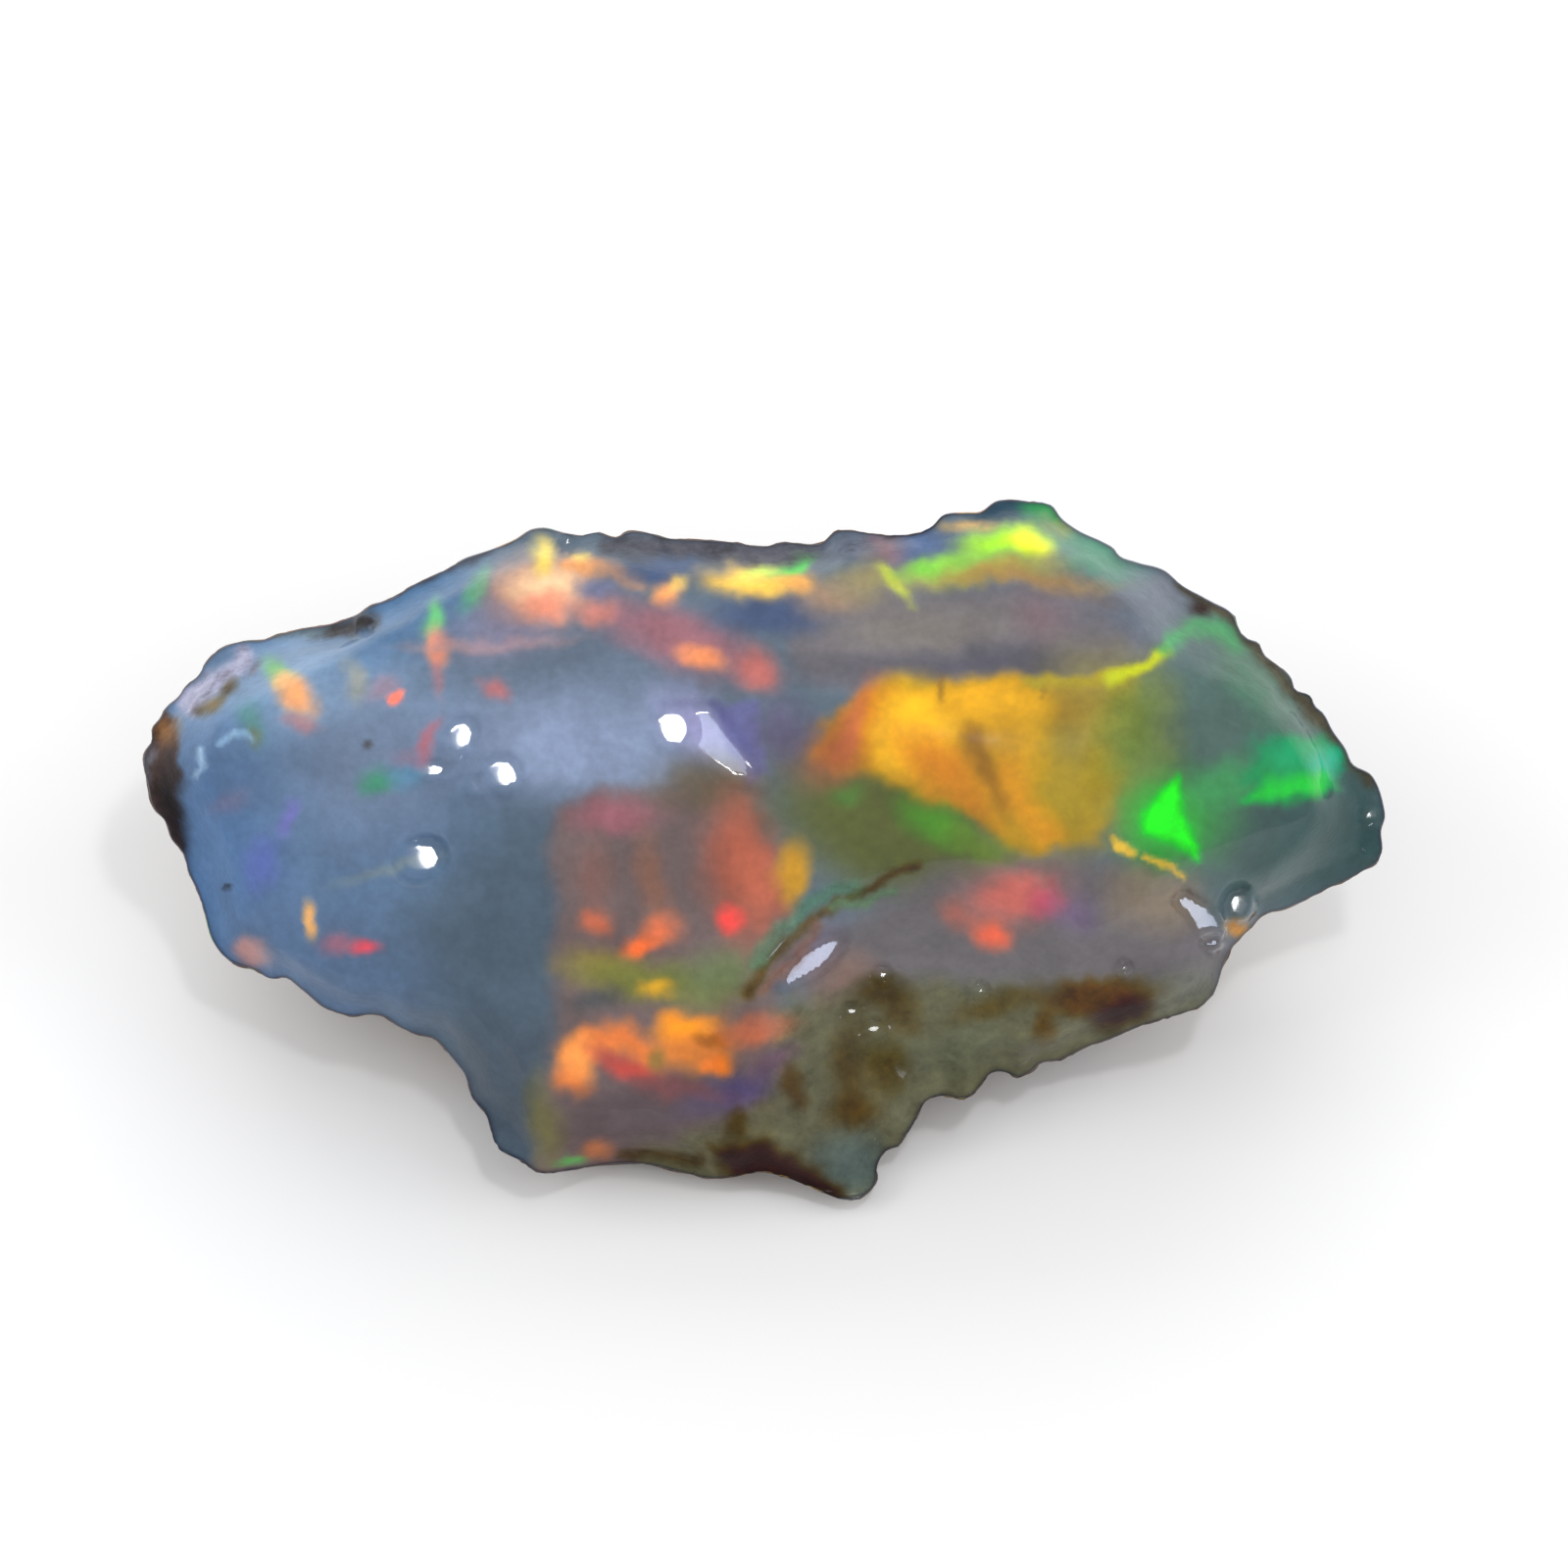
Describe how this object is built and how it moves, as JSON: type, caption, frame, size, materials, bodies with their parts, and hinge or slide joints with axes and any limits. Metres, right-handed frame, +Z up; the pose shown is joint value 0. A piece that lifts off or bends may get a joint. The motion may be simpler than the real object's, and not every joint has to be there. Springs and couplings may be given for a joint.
{
  "type": "rough ethiopian opal",
  "caption": "Rough broken lump of milky blue-grey opal with glossy shell-shaped faces, flashes of colour, a brown rind and a flat underside to rest on.",
  "frame": {"origin": "middle of the bounding box, on the flat face that the stone rests on", "axes": "+X along the stone's longest extent, towards its narrow tip; +Z up; -Y towards the side that it shows"},
  "size_m": [0.0254, 0.0128, 0.0082],
  "materials": {
    "opal": "glossy, milky and translucent where broken, with a dull brown pitted rind on the sides and below"
  },
  "bodies": {
    "root": {"opal": "opal"}
  },
  "joints": []
}
